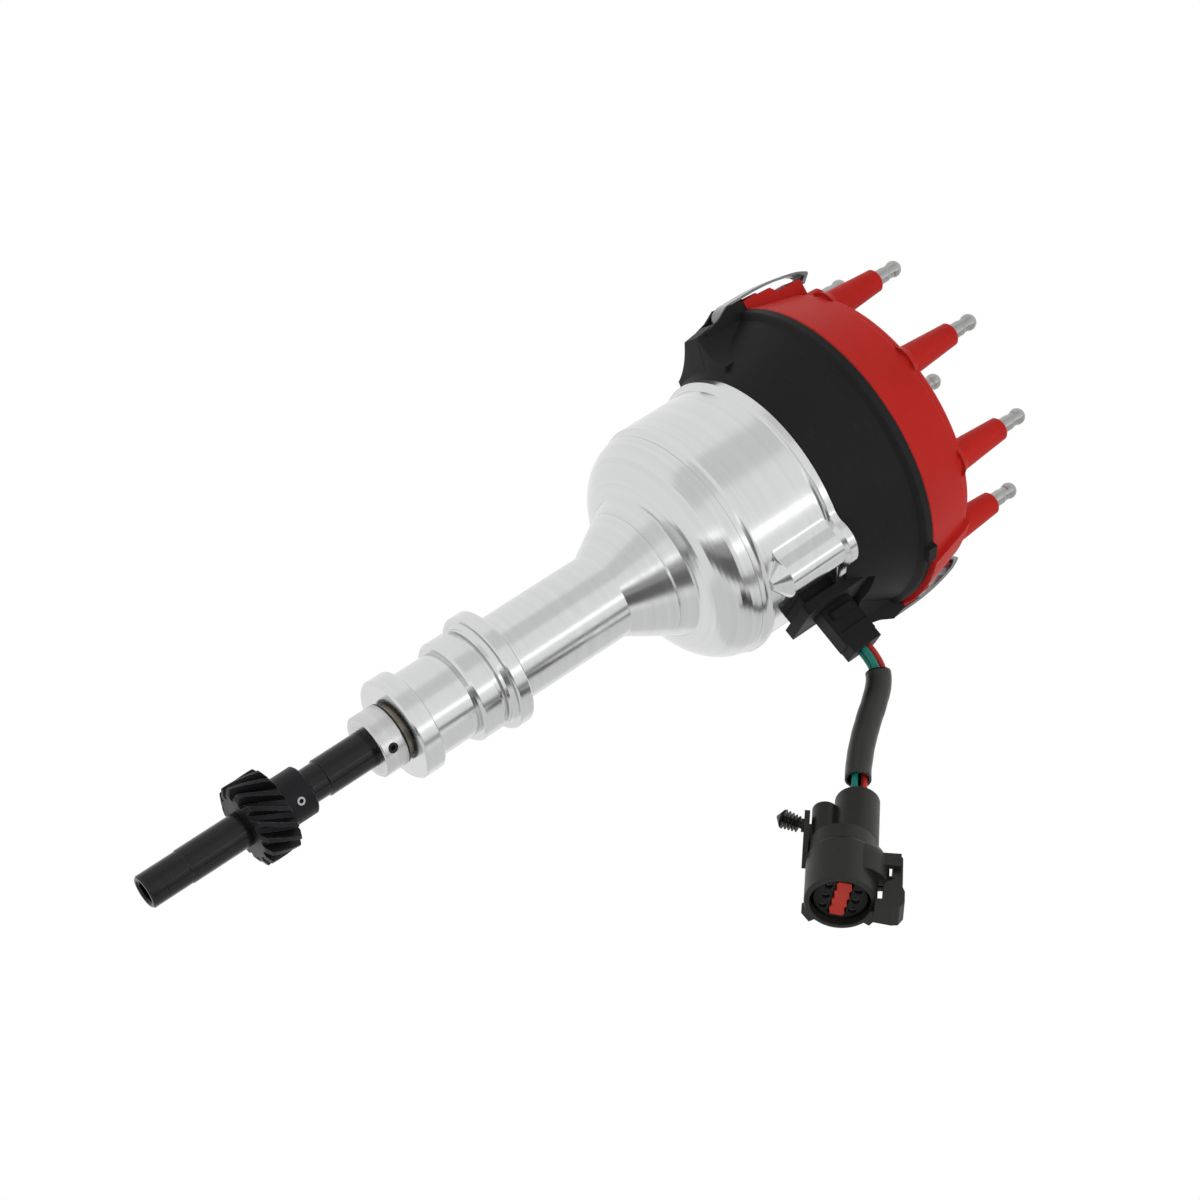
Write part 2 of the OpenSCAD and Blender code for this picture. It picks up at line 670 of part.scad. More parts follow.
module clip_lug() {
    face_r = pin_r + 1.5;
    lug_low_z = bowl_top_z + 7.3;
    intersection() {
        plate_in_plane(clip_w + 2 * play) polygon([
            [rim_d / 2 - 7.2, bowl_top_z + 1], [rim_d / 2 - 0.7, bowl_top_z + 3],
            [face_r, lug_low_z], [face_r + 1.2, pin_z - 5.6], [face_r - 1, pin_z - 4.2],
            [pin_r - 7.5, pin_z - 4.2]]);
        translate([0, 0, bowl_top_z]) cylinder(r = adapter_d, h = 60);
    }
    for (side = [-1, 1]) translate([0, side * (clip_w / 2 + play + 0.8), 0])
        plate_in_plane(1.6) polygon([
            [pin_r - 12, pin_z - 13], [face_r - 0.2, pin_z - 11], [face_r + 1.2, pin_z - 6],
            [face_r + 1.9, pin_z - 3], [face_r + 4.6, pin_z + 2.7], [face_r + 3.3, adapter_top_z - 0.2],
            [face_r - 5, adapter_top_z - 0.2], [pin_r - 7.5, pin_z - 4]]);
}

// Room in which the bend of a clip swings, below and outside its pin
module clip_swing_room() {
    plate_in_plane(clip_w + 2 * play) polygon([
        [pin_r - 1.6, pin_z - 2.4], [pin_r + 0.3, pin_z - 4], [pin_r + 2.6, pin_z - 5.2],
        [pin_r + 9, pin_z - 5.2], [pin_r + 9, pin_z + 2.4], [pin_r + 1.6, pin_z + 2.4]]);
}

// Concave flare from the edge of a lug into the adapter's side
module lug_flare() {
    face_r = pin_r + 1.5;
    edge = [face_r + 0.6, clip_w / 2 + play + 0.2];
    body_r = adapter_d / 2 - 10.2;
    f = 24;
    c = meet(body_r + f, edge, f);
    intersection() {
        translate([0, 0, bowl_top_z + 1]) difference() {
            linear_extrude(adapter_h - 3)
                polygon([[body_r - 10, 0], [edge[0], 0], edge, c, c * (body_r - 8) / norm(c)]);
            translate([c[0], c[1], -over]) cylinder(r = f, h = adapter_h);
        }
        rotate_extrude() polygon([[body_r - 12, bowl_top_z + 1],
            [rim_d / 2 - 0.7, bowl_top_z + 3], [face_r, bowl_top_z + 7.3],
            [face_r + 1, pin_z - 6], [face_r + 1, adapter_top_z], [body_r - 12, adapter_top_z]]);
    }
}

module adapter_body() {
    r0 = rim_d / 2;
    r1 = adapter_d / 2;
    bead = 4;
    rotate_extrude() polygon([
        [bowl_inside_d / 2 - 5.5, bowl_top_z], [r0, bowl_top_z], [r0 + 0.4, bowl_top_z + 0.8],
        [r1 - 2.8, adapter_top_z - bead - 1.2], [r1 - 0.7, adapter_top_z - bead],
        [r1, adapter_top_z - bead + 0.7], [r1, adapter_top_z - 0.4], [r1 - 0.4, adapter_top_z],
        [rim_seat_r, adapter_top_z], [rim_seat_r, adapter_top_z - bead],
        [r1 - 3.4 - wall, adapter_top_z - bead - 1.6], [r0 - wall + 1, bowl_top_z + 4],
        [bowl_inside_d / 2 - 5.5, bowl_top_z + 4]]);
    ring(bowl_inside_d / 2 - 0.1, bowl_inside_d / 2 - 3.5, bowl_top_z - 3, bowl_top_z + 0.1);
}

module cap_adapter() {
    color("dimgray") difference() {
        union() {
            adapter_body();
            rotate([0, 0, -45]) translate([adapter_d / 2 - 2, -3.6, adapter_top_z - 4.2])
                cube([4, 7.2, 4.2]);
            difference() {
                for (turn = [0, 180]) rotate([0, 0, turn]) {
                    clip_lug();
                    lug_flare();
                    mirror([0, 1, 0]) lug_flare();
                }
                rotate_extrude() polygon([
                    [0, bowl_top_z - over], [rim_d / 2 - 2, bowl_top_z - over],
                    [rim_d / 2 - 2, bowl_top_z + 1], [adapter_d / 2 - 4.4, adapter_top_z - 5.4],
                    [rim_seat_r + 0.5, adapter_top_z - 4], [rim_seat_r + 0.5, adapter_top_z + over],
                    [0, adapter_top_z + over]]);
            }
        }
        for (turn = [0, 180]) rotate([0, 0, turn]) {
            cross_pin(2 * eye_r + 5 * play, pin_r, pin_z, clip_w + 2 * play);
            clip_swing_room();
        }
        clip_pin_bars(clip_pin_d, clip_w + 3.2, 6);
        rotate([0, 0, plug_turn]) {
            slab(flange_back - play, 80, -13 - play, 13 + play, bowl_top_z - 4,
                plug_z + 16 + play);
            slab(30, 70, -window_w / 2 - play, window_w / 2 + play, bowl_top_z - 4,
                plug_z + 4 + play);
        }
        for (a = [boss_turn, 90, 200]) rotate([0, 0, a])
            translate([screw_r, 0, bowl_top_z - over]) cylinder(d = 4.4, h = 6);
    }
}

module adapter_screws() {
    color("silver") for (a = [boss_turn, 90, 200])
        rotate([0, 0, a]) translate([screw_r, 0, bowl_top_z]) difference() {
            union() {
                translate([0, 0, -8]) cylinder(d = 3.6 - 2 * hair, h = 12.1, $fn = 48);
                translate([0, 0, 4]) cylinder(d = 6.8, h = 2.6, $fn = 48);
            }
            translate([0, 0, 5.2]) for (b = [0, 90])
                rotate([0, 0, b]) translate([-2, -0.4, 0]) cube([4, 0.8, 3]);
        }
}

// Bars along the hinges of both clips, from a blind end to an open one
module clip_pin_bars(d, l, extra) {
    for (x = [-pin_r, pin_r]) translate([0, extra / 2, 0]) cross_pin(d, x, pin_z, l + extra);
}

module clip_pins() {
    color("silver") clip_pin_bars(clip_pin_d - 2 * hair, clip_w + 3.1, 0);
}

/* Spring clips */

function strap_side(shift) = concat(
    arc([bulge_r - bend_r, bend_z], bend_r - shift, -90, 0, 10),
    arc([bulge_r - strap_r, straight_z], strap_r - shift, 0, strap_turn, 8));

module spring_clip() {
    fold = [[-0.9, 2.2], [-2, 4.4], [-2.8, 4.4], [-5.6, 0.9], [-5.1, 0.2], [-4.2, 0.6],
        [-2.9, 2.4], [-1.8, 1.2]];
    difference() {
        union() {
            plate_in_plane(clip_w) polygon(concat(
                [[pin_r, pin_z - eye_r]], strap_side(0), [for (f = fold) strap_end + f],
                turned_back(strap_side(clip_t)), [[pin_r, pin_z - eye_r + clip_t]]));
            cross_pin(2 * eye_r, pin_r, pin_z, clip_w);
        }
        cross_pin(clip_pin_d + 2 * run - 2 * hair, pin_r, pin_z, clip_w + 2);
    }
}

module spring_clip_a() {
    color("silver") rotate([0, 0, 180]) spring_clip();
}

module spring_clip_b() {
    color("silver") spring_clip();
}

/* Cap */

module cap_clip_boss() {
    low = adapter_top_z + play;
    face_r = pin_r + 0.8;
    plate_in_plane(clip_w + 3.4) polygon([
        [pin_r - 7.5, low], [face_r, low], [face_r, low + 15.6], [pin_r + 0.5, lug_top_z - 0.6],
        [pin_r, lug_top_z], [pin_r - 6.1, lug_top_z], [pin_r - 7.2, cap_edge_z - 2]]);
    for (side = [-1, 1]) translate([0, side * (clip_w / 2 + play + 0.8), 0])
        plate_in_plane(1.6) polygon([
            [pin_r - 5, low], [pin_r + 4.3, low], [pin_r + 4.6, low + 6.5], [pin_r + 4.1, low + 6.8],
            [pin_r + 3.7, low + 13.3], [face_r, low + 15.8], [pin_r - 5, low + 15.8]]);
}

module cap_skin(grow) {
    r0 = adapter_d / 2 - 0.3 + grow;
    r1 = cap_top_d / 2 + grow;
    rotate_extrude() polygon(concat(
        [[0, adapter_top_z], [r0, adapter_top_z], [r0, adapter_top_z + 0.8]],
        [[r1 + 0.35, cap_edge_z - 0.6], [r1 - 0.2, cap_edge_z]],
        arc([r1 - cap_rise - 0.4, cap_edge_z], cap_rise, 8, 90, 7),
        [[0, cap_top_z]]));
}

module cap_cavity() {
    rotate_extrude() polygon([
        [0, adapter_top_z - over], [rim_seat_r - 0.2 - wall, adapter_top_z - over],
        [rim_seat_r - 0.2 - wall, adapter_top_z], [cap_top_d / 2 - wall - 1.2, cap_edge_z - 4],
        [cap_top_d / 2 - wall - 3, ceiling_z], [0, ceiling_z]]);
}

module tower(foot_z, top_z, foot_d, end_d) {
    translate([0, 0, foot_z]) cylinder(d1 = foot_d, d2 = end_d, h = top_z - foot_z - 0.8);
    translate([0, 0, top_z - 0.81]) cylinder(d1 = end_d, d2 = end_d - 1.4, h = 0.81);
    translate([0, 0, foot_z + 4.2]) cylinder(d1 = foot_d + 2.4, d2 = foot_d - 1, h = 3.2);
}

module distributor_cap() {
    stem_hole_d = post_d + 2 * hair;
    color("firebrick") difference() {
        union() {
            difference() {
                union() {
                    cap_skin(0);
                    intersection() {
                        cap_skin(pad_out);
                        rotate([0, 0, -pad_half_angle]) rotate_extrude(angle = 2 * pad_half_angle)
                            translate([50, adapter_top_z]) square([20, cap_side_h + cap_rise]);
                        translate([0, 0, adapter_top_z + play]) cylinder(r = 90, h = cap_side_h + 3);
                    }
                    for (turn = [0, 180]) rotate([0, 0, turn]) cap_clip_boss();
                }
                cap_cavity();
            }
            ring(rim_seat_r - 0.2, rim_seat_r - wall, adapter_top_z - 3, adapter_top_z + 0.1);
            for (i = [0:7]) rotate([0, 0, 22.5 + 45 * i]) translate([tower_r, 0, 0]) {
                tower(cap_edge_z - 3.4, tower_top_z, tower_foot_d, tower_end_d);
                translate([0, 0, contact_z + contact_h])
                    cylinder(r = 4.6, h = ceiling_z - contact_z - contact_h + 0.5);
            }
            tower(cap_edge_z, centre_top_z, tower_foot_d + 4, tower_end_d + 1);
            translate([0, 0, ceiling_z - 6]) cylinder(r = 8, h = 6.5);
        }
        for (i = [0:7]) rotate([0, 0, 22.5 + 45 * i])
            translate([tower_r, 0, contact_z]) cylinder(d = stem_hole_d, h = tower_top_z);
        translate([0, 0, ceiling_z + 4]) cylinder(d = stem_hole_d, h = tower_top_z);
        translate([0, 0, ceiling_z - 6 - over]) cylinder(r = 3.2 + run, h = 10 + 2 * over);
    }
}

// A plug wire terminal: stem, groove and ball end, standing on the height z0
module terminal(z0, z1) {
    ball_r = 3.3;
    neck_r = 2.7;
    tip = z1 + post_out;
    rotate_extrude() polygon(concat(
        [[0, z0], [post_d / 2 - 0.4, z0], [post_d / 2, z0 + 0.4], [post_d / 2, z1 + 4.6],
            [neck_r, z1 + 5.4], [neck_r, z1 + 6.8]],
        arc([0, tip - ball_r], ball_r, -35, 88, 9),
        [[0, tip]]));
}

module cap_terminals() {
    color("silver") for (i = [0:7]) rotate([0, 0, 22.5 + 45 * i]) {
        difference() {
            translate([tower_r, 0, 0]) union() {
                terminal(contact_z, tower_top_z);
                intersection() {
                    translate([-tower_r, 0, 0])
                        ring(tower_r + 3, contact_r, contact_z, contact_z + contact_h);
                    slab(-10, 2, -4, 4, contact_z - over, contact_z + contact_h + over);
                }
            }
        }
    }
}

module centre_terminal() {
    color("silver") terminal(ceiling_z + 4 + hair, centre_top_z);
}

brush_low_z = blade_z + blade_t + 0.9;
brush_top_z = ceiling_z - 1;
spring_top_z = ceiling_z + 4;

module carbon_brush() {
    color("black") translate([0, 0, brush_low_z]) {
        cylinder(r1 = 2.2, r2 = 3.2, h = 1.2);
        translate([0, 0, 1.2]) cylinder(r = 3.2, h = brush_top_z - brush_low_z - 1.2);
    }
}

// A coil spring swept as one closed tube
function coil_point(r, z0, z1, turns, t) =
    [r * cos(360 * turns * t), r * sin(360 * turns * t), z0 + (z1 - z0) * t];

module coil(r, wire_r, z0, z1, turns, steps, sides) {
    points = [for (i = [0:steps]) let (t = i / steps, p = coil_point(r, z0, z1, turns, t),
            a = 360 * turns * t)
        for (j = [0:sides - 1]) let (b = 360 * j / sides)
            p + wire_r * [cos(a) * cos(b), sin(a) * cos(b), sin(b)]];
    faces = concat(
        [[for (j = [0:sides - 1]) j]],
        [for (i = [0:steps - 1]) for (j = [0:sides - 1]) let (k = (j + 1) % sides)
            [i * sides + j, (i + 1) * sides + j, (i + 1) * sides + k]],
        [for (i = [0:steps - 1]) for (j = [0:sides - 1]) let (k = (j + 1) % sides)
            [i * sides + j, (i + 1) * sides + k, i * sides + k]],
        [[for (j = [sides - 1:-1:0]) steps * sides + j]]);
    polyhedron(points, faces);
}

module brush_spring() {
    wire_r = 0.3;
    color("silver") coil(2.2, wire_r, brush_top_z + wire_r + 0.05, spring_top_z - wire_r - 0.05, 4, 48, 6);
}

/* Harness */

module harness_plug() {
    shell_w = plug_w;
    front = flange_front + 0.02;
    color("black") rotate([0, 0, plug_turn]) translate([front, 0, plug_z]) rotate([0, 90, 0])
        difference() {
            union() {
                linear_extrude(plug_l - 4) pill(shell_w, plug_t, 1.4);
                translate([0, 0, plug_l - 9]) linear_extrude(9 - 0.02)
                    pill(shell_w - 1.4, plug_t + 1.6, 1.6);
                translate([0, -plug_t / 2 - 0.7, 3]) linear_extrude(3) pill(11, 2.4, 1);
            }
            translate([0, 0, -over]) linear_extrude(9 + over)
                pill(plug_w - 5 + 0.1, plug_t - 4 + 0.1, 1);
            for (s = wire_seats)
                translate([-s[1], s[0], plug_l - seat_depth]) cylinder(d = wire_d + 0.1, h = 8, $fn = 24);
        }
}

// Frame of the route at a point: forward, sideways and upward
function way(p, i) = i == 0 ? plug_way
    : i == len(p) - 1 ? connector_way
    : unit(unit(p[i + 1] - p[i]) + unit(p[i] - p[i - 1]));
function side(t) = unit(cross([0, 0, 1], t));
function lift(t) = cross(t, side(t));

module swept(p, first, last, off, r_out, r_in, sides) {
    turn = 360 / sides;
    rows = [for (i = [first:last]) let (t = way(p, i), s = side(t), u = lift(t))
        [for (r = r_in > 0 ? [r_out, r_in] : [r_out]) for (j = [0:sides - 1])
            p[i] + s * (off[0] + r * cos(j * turn)) + u * (off[1] + r * sin(j * turn))]];
    n = last - first;
    m = len(rows[0]);
    points = [for (row = rows) for (q = row) q];
    outside = [for (i = [0:n - 1]) for (j = [0:sides - 1]) let (k = (j + 1) % sides)
        [i * m + j, i * m + k, (i + 1) * m + k, (i + 1) * m + j]];
    inside = r_in > 0 ? [for (i = [0:n - 1]) for (j = [0:sides - 1]) let (k = (j + 1) % sides)
        [i * m + sides + j, (i + 1) * m + sides + j, (i + 1) * m + sides + k,
            i * m + sides + k]] : [];
    ends = r_in > 0
        ? [for (j = [0:sides - 1]) let (k = (j + 1) % sides)
            for (f = [[j, sides + j, sides + k, k],
                [n * m + j, n * m + k, n * m + sides + k, n * m + sides + j]]) f]
        : [[for (j = [sides - 1:-1:0]) j], [for (j = [0:sides - 1]) n * m + j]];
    polyhedron(points, concat(outside, inside, ends));
}

module wire(seat) {
    swept(full_route, 0, len(full_route) - 1, seat, wire_d / 2, 0, 8);
}

module wire_green_1() {
    color("seagreen") wire(wire_seats[0]);
}

module wire_green_2() {
    color("seagreen") wire(wire_seats[1]);
}

module wire_red() {
    color("firebrick") wire(wire_seats[2]);
}

module wire_sleeve() {
    color("black") swept(full_route, sleeve_first, sleeve_last, [0, 0], sleeve_d / 2,
        sleeve_d / 2 - sleeve_wall, 12);
}

/* Connector */

module connector_frame() {
    translate(connector_at) rotate([0, 90 + connector_dip, connector_turn])
        rotate([0, 0, connector_roll]) children();
}

// Half plates beside the latch that carry its trunnions
module latch_cheeks(reach) {
    for (y = [-1, 1]) translate([0, y * (latch_w / 2 + play + 1), 0])
        slab(mouth_d / 2 - 3, reach, -1, 1, latch_pivot - 3, latch_pivot + 3);
}

module connector_shell() {
    r_out = mouth_d / 2;
    r_in = r_out - mouth_wall;
    color("dimgray") connector_frame() difference() {
        union() {
            rotate_extrude() polygon([
                [0, 0.02], [barrel_d / 2 - 1.2, 0.02], [barrel_d / 2, 1.2],
                [barrel_d / 2, shell_low + 8], [0, shell_low + 8]]);
            translate([-11.6, 0, 0]) rotate_extrude() polygon([
                [0, 5.4], [3.6, 5.4], [4.8, 6.6], [4.8, shell_low + 4], [0, shell_low + 4]]);
            translate([shell_shift, 0, 0]) {
                rotate_extrude() polygon([
                    [0, shell_low], [r_out - 1.6, shell_low], [r_out - 0.6, shell_low + 1],
                    [r_out - 0.4, shell_low + 8], [r_out, shell_low + 9], [r_out, connector_l - 0.6],
                    [r_out - 0.5, connector_l], [0, connector_l]]);
                translate([lobe_shift, 0, 0]) difference() {
                    rotate_extrude() polygon([
                        [0, shell_low], [3, shell_low], [lobe_r - 1.6, shell_low + 6],
                        [lobe_r - 0.3, shell_low + 9], [lobe_r, shell_low + 11], [lobe_r, lobe_high],
                        [0, lobe_high]]);
                    slab(0, lobe_r + over, -lobe_r - over, -3, lobe_high - 7, lobe_high + over);
                    slab(lobe_r - 4, lobe_r + over, -latch_w / 2 - play, latch_w / 2 + play,
                        lobe_high - 5, lobe_high + over);
                }
                slab(-r_out - 1.4, -r_out + 0.6, -4, 4, shell_low - 13, shell_low + 9);
                slab(-r_out - 0.4, -r_out + 3, -2, 2, shell_low - 8, shell_low + 6);
                for (a = [215, 325]) rotate([0, 0, a])
                    slab(r_out - 1.5, r_out + 1.8, -2.5, 2.5, connector_l - 5, connector_l - 0.2);
                latch_cheeks(latch_out - 0.7);
            }
        }
        translate([shell_shift, 0, 0]) {
            translate([0, 0, core_back]) cylinder(r = r_in, h = connector_l);
            translate([0, 0, shell_low + 2]) cylinder(d = core_d - 3, h = core_back);
            translate([latch_out - 2.6, 10, latch_pivot]) rotate([90, 0, 0])
                cylinder(d = latch_pin_d + 2 * run, h = 20, $fn = 48);
            slab(r_out - 4, r_out + 2, -3, 3, connector_l - 3, connector_l + over);
        }
        translate([0, 0, -over]) cylinder(d = 10, h = shell_low + 5);
    }
}

module connector_core() {
    face = connector_l - 2.5;
    color("black") connector_frame() translate([shell_shift, 0, 0]) difference() {
        union() {
            translate([0, 0, core_back + hair]) cylinder(d = core_d, h = face - core_back);
            translate([0, 0, core_low])
                cylinder(d = core_d - 3 - 2 * hair, h = core_back - core_low + 1);
        }
        for (i = [-1:1]) for (s = [-1, 1])
            rotate([0, 0, core_turn]) translate([s * 5.4, i * 5, core_back + 1])
                cylinder(d = 3, h = 30, $fn = 32);
        translate([0, 0, face - 4]) rotate([0, 0, core_turn]) linear_extrude(10)
            pill(6.4, 16.6, 0.6);
    }
}

module connector_wedge() {
    low = connector_l - 6.5 + hair;
    color("red") connector_frame() translate([shell_shift, 0, low]) rotate([0, 0, core_turn])
        for (i = [0:3]) translate([0, (i - 1.5) * 4, 0]) linear_extrude(4.4) polygon([
            [-2.1, -2.02], [2.3, -2.02], [3, -0.9], [2.1, 2.02], [-2.3, 2.02], [-3, 0.9]]);
}

module connector_sockets() {
    color("gold") connector_frame() translate([shell_shift, 0, 0]) rotate([0, 0, core_turn])
        for (i = [-1:1]) for (s = [-1, 1])
            translate([s * 5.4, i * 5, core_back + 1 + hair]) difference() {
                cylinder(d = 3 - 2 * hair, h = connector_l - 5 - core_back, $fn = 32);
                translate([0, 0, 4]) cylinder(d = 1.6, h = 30, $fn = 32);
            }
}

module connector_latch() {
    r = latch_out;
    hook_z = connector_l + 0.6;
    color("dimgray") connector_frame() translate([shell_shift, 0, 0]) {
        plate_in_plane(latch_w) polygon([
            [r - 3.6, latch_pivot - 3.4], [r - 2, latch_pivot - 4.2], [r - 0.3, latch_pivot - 3.6],
            [r, latch_pivot - 2.8], [r, connector_l - 5.6], [r + 0.8, connector_l - 3.6],
            [r + 0.8, connector_l + 1.4], [r - 1, connector_l + 4.4], [r - 3.4, connector_l + 4.8],
            [r - 9.6, connector_l + 3.8], [r - 9.6, hook_z], [r - 6.9, hook_z],
            [r - 6.9, lobe_high + 0.6], [r - 3.6, lobe_high - 1.4]]);
        translate([r - 2.6, latch_w / 2 + play + 1.9, latch_pivot]) rotate([90, 0, 0])
            cylinder(d = latch_pin_d, h = latch_w + 2 * play + 3.8, $fn = 48);
    }
}

module fir_tree_clip() {
    foot = [shell_shift - mouth_d / 2 - 1.4 - hair, 0, shell_low - 9];
    color("black") connector_frame() translate(foot) rotate([0, -90, 0]) {
        cylinder(d = 5, h = 1);
        translate([0, 0, 0.8]) rotate([0, -22, 0]) {
            cylinder(d = 2.6, h = 8);
            for (i = [0:4]) translate([0, 0, 1.4 + i * 1.4])
                cylinder(d1 = 6.2 + i * 0.3, d2 = 4.2, h = 0.8, $fn = 24);
            translate([0, 0, 7.6]) cylinder(d1 = 7, d2 = 1, h = 2.2, $fn = 24);
        }
    }
}

shank();
bowl();
lower_bushing();
bearing_outer_race();
bearing_balls();
retaining_ring();
pickup_plate();
hall_sensor();
plate_screws();
pickup_socket();
cap_adapter();
adapter_screws();
clip_pins();
distributor_cap();
cap_terminals();
centre_terminal();
brush_spring();
harness_plug();
wire_green_1();
wire_green_2();
wire_red();
wire_sleeve();
connector_shell();
connector_core();
connector_wedge();
connector_sockets();
fir_tree_clip();
shaft();
drive_gear();
gear_pin();
thrust_collar();
collar_screw();
thrust_shim();
bearing_inner_race();
shutter_wheel();
rotor_base();
rotor();
rotor_blade();
rotor_screws();
spring_clip_a();
spring_clip_b();
carbon_brush();
connector_latch();
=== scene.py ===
import json
import math

import bpy
from mathutils import Matrix, Vector


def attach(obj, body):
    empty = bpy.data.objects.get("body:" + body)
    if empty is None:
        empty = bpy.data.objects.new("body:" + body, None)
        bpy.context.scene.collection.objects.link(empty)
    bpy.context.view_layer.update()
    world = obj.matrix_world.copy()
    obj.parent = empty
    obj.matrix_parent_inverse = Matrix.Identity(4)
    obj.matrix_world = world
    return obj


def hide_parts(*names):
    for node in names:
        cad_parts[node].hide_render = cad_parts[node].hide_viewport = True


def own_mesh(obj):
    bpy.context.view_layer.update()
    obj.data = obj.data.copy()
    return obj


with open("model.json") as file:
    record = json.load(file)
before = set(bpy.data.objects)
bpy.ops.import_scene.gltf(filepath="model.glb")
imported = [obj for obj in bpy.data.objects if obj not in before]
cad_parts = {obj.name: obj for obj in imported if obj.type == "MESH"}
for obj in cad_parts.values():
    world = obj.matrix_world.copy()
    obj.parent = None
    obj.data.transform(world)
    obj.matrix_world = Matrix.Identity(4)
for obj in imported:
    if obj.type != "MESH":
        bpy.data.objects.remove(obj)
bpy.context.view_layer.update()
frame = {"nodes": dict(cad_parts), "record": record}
nodes = frame["nodes"]
scene = bpy.context.scene
print("frame loaded")


# the photograph's view, found from the turned profile
cameraView = {
    "place": (-0.16427, -0.94503, -0.37761),
    "right": (0.47636, -0.43429, 0.76451),
    "up": (-0.86516, -0.07645, 0.49564),
    "back": (-0.15680, -0.89752, -0.41215),
    "middle": (0.02, -0.01, 0.05),
    "lens": 84.17,
    "sensor": 36.0,
    "near": 0.01, "far": 20,
}


def viewAxes(view):
    return [Vector(view[k]).normalized() for k in ("right", "up", "back")]


def addCamera(view):
    data = bpy.data.cameras.new("photoCamera")
    data.lens = view["lens"]
    data.sensor_width = view["sensor"]
    data.clip_start, data.clip_end = view["near"], view["far"]
    cam = bpy.data.objects.new("photoCamera", data)
    turn = Matrix(viewAxes(view)).transposed()
    cam.matrix_world = Matrix.Translation(view["place"]) @ turn.to_4x4()
    scene.collection.objects.link(cam)
    scene.camera = cam


addCamera(cameraView)


def fromView(x, y, z):
    # a point given along the camera's right, up and back, from the middle of the object
    r, u, b = viewAxes(cameraView)
    return Vector(cameraView["middle"]) + r * x + u * y + b * z


def meshPiece(name, points, faces, smooth=True):
    mesh = bpy.data.meshes.new(name)
    mesh.from_pydata([tuple(p) for p in points], [], faces)
    mesh.update()
    if smooth:
        mesh.polygons.foreach_set("use_smooth", [True] * len(mesh.polygons))
    obj = bpy.data.objects.new(name, mesh)
    scene.collection.objects.link(obj)
    return obj


def wayAt(path, i):
    a, b = path[max(i - 1, 0)], path[min(i + 1, len(path) - 1)]
    return (b - a).normalized()


def smoothPath(points, perStep):
    # rounds a given route with a Catmull-Rom curve
    out = []
    for i in range(len(points) - 1):
        p1, p2 = points[i], points[i + 1]
        p0 = points[i - 1] if i else p1
        p3 = points[i + 2] if i + 2 < len(points) else p2
        for j in range(perStep):
            t = j / perStep
            out.append(0.5 * (2 * p1 + (p2 - p0) * t + (2 * p0 - 5 * p1 + 4 * p2 - p3) * t * t
                              + (3 * p1 - p0 - 3 * p2 + p3) * t ** 3))
    return out + [points[-1].copy()]


def sideFrames(path):
    # a sideways and an upward direction at each point, the same ones that the CAD route uses
    frames = []
    for i in range(len(path)):
        t = wayAt(path, i)
        side = Vector((0, 0, 1)).cross(t).normalized()
        frames.append((side, t.cross(side)))
    return frames


def tubePiece(name, path, radius, sides, shape=None, closed=True):
    # sweeps a round section along a path; shape(i, a) may change the radius
    points, faces = [], []
    for i, (side, lift) in enumerate(sideFrames(path)):
        for j in range(sides):
            a = 2 * math.pi * j / sides
            r = radius * (shape(i, a) if shape else 1)
            points.append(path[i] + side * (r * math.cos(a)) + lift * (r * math.sin(a)))
    for i in range(len(path) - 1):
        for j in range(sides):
            k = (j + 1) % sides
            faces.append((i * sides + j, i * sides + k, (i + 1) * sides + k, (i + 1) * sides + j))
    if closed:
        faces.append(tuple(reversed(range(sides))))
        faces.append(tuple(range((len(path) - 1) * sides, len(path) * sides)))
    return meshPiece(name, points, faces)


# the wires come first because they are free cords; the route is in millimetres, all else in metres
harness = {
    "turn": -23.0, "plugEnd": 0.073, "plugZ": 0.1306, "seatDepth": 0.00598, "plugLip": 0.0012,
    "connector": (0.1061, -0.0555, 0.0830), "connectorTurn": -57.1, "connectorDip": 44.8,
    "coreLow": 0.02798, "wire": 0.0024, "wireSides": 12, "perStep": 4,
    "seats": ((0.002, -0.0012), (-0.002, -0.0012), (0, 0.0023)),
    "route": ((71.2, -30.1, 130.5), (74.2, -31.2, 130), (77, -32.5, 128.6), (79.6, -34, 126.2),
              (81.7, -35.4, 123.2), (83.6, -36.8, 119.8), (85.5, -38.1, 116.3), (87.4, -39.4, 112.5),
              (89.4, -40.9, 108.7), (91.6, -42.4, 104.8), (93.9, -44, 101), (96.4, -45.8, 97.2),
              (98.9, -47.8, 93.5), (101.4, -50.3, 89.9), (103.9, -53, 86.3)),
}
sleeveTape = {
    "diameter": 0.0100, "wall": 0.0008, "sides": 36, "firstPoint": 4, "lastPoint": 15,
    "ridge": 0.012, "ridgeSlant": 0.9, "ridgeSharp": 6, "fold": 0.010, "folds": 3, "foldSlant": 0.35,
}


def connectorWay(h):
    t, d = math.radians(h["connectorTurn"]), math.radians(h["connectorDip"])
    return Vector((math.cos(t) * math.cos(d), math.sin(t) * math.cos(d), -math.sin(d)))


def wireRoute(h):
    t = math.radians(h["turn"])
    out = Vector((math.cos(t), math.sin(t), 0))
    plug = Vector((0, 0, h["plugZ"]))
    start = [out * (h["plugEnd"] + d) + plug for d in (-h["seatDepth"], h["plugLip"])]
    way = connectorWay(h)
    end = [Vector(h["connector"]), Vector(h["connector"]) + way * h["coreLow"]]
    return start + [Vector(p) / 1000 for p in h["route"]] + end


def offsetPath(path, side, lift):
    return [p + s * side + u * lift for p, (s, u) in zip(path, sideFrames(path))]


